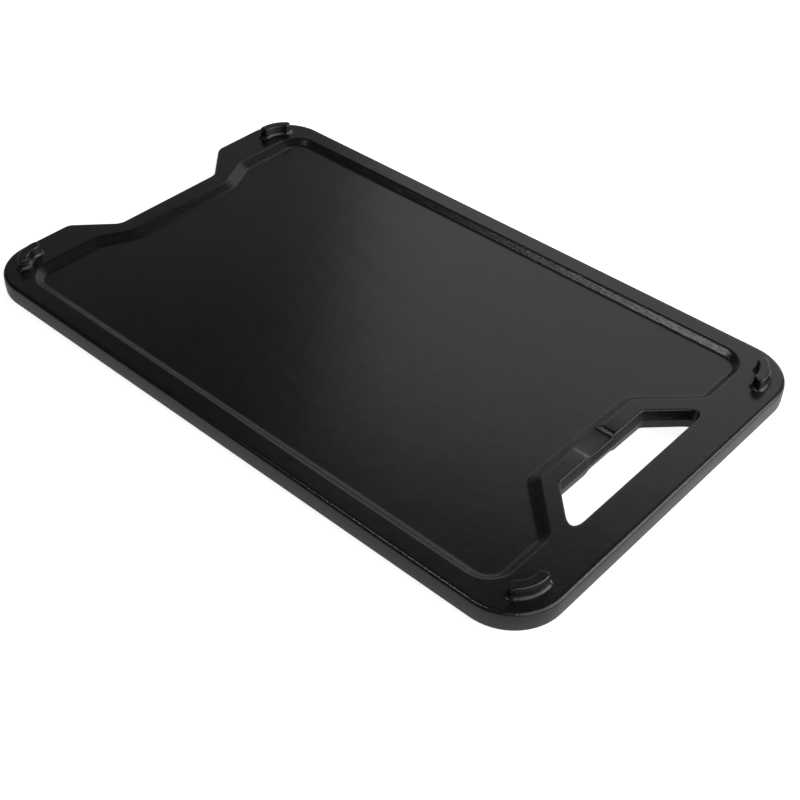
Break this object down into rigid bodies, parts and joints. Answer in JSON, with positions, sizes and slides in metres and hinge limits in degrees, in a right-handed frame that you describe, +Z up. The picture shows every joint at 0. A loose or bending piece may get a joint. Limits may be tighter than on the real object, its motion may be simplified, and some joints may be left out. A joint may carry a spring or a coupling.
{
  "type": "camp griddle plate",
  "caption": "Long reversible cast-iron griddle plate with a sunken cooking face, a hand slot and drain groove at one end, a notch at the other and arc-shaped lugs over its corners.",
  "frame": {"origin": "on the ground, under the middle of the plate, at the level of the foot lugs' soles", "axes": "+X across the plate to its right with the handle nearest, +Y along the plate from the handle to the notched end, +Z up"},
  "size_m": [0.29, 0.474, 0.0306],
  "materials": {
    "cast_iron": "satin black seasoned casting with a fine pebbled skin"
  },
  "bodies": {
    "root": {"cooking_floor": "cast_iron", "left_rim": "cast_iron", "right_rim": "cast_iron", "notch_rim": "cast_iron", "notch_corner_left": "cast_iron", "notch_corner_right": "cast_iron", "handle_corner_left": "cast_iron", "handle_corner_right": "cast_iron", "handle_arm_left": "cast_iron", "handle_arm_right": "cast_iron", "handle_bar": "cast_iron", "drain_bridge": "cast_iron", "grill_ribs": "cast_iron", "top_lug_notch_left": "cast_iron", "top_lug_notch_right": "cast_iron", "top_lug_handle_left": "cast_iron", "top_lug_handle_right": "cast_iron", "foot_lug_notch_left": "cast_iron", "foot_lug_notch_right": "cast_iron", "foot_lug_handle_left": "cast_iron", "foot_lug_handle_right": "cast_iron"}
  },
  "joints": []
}
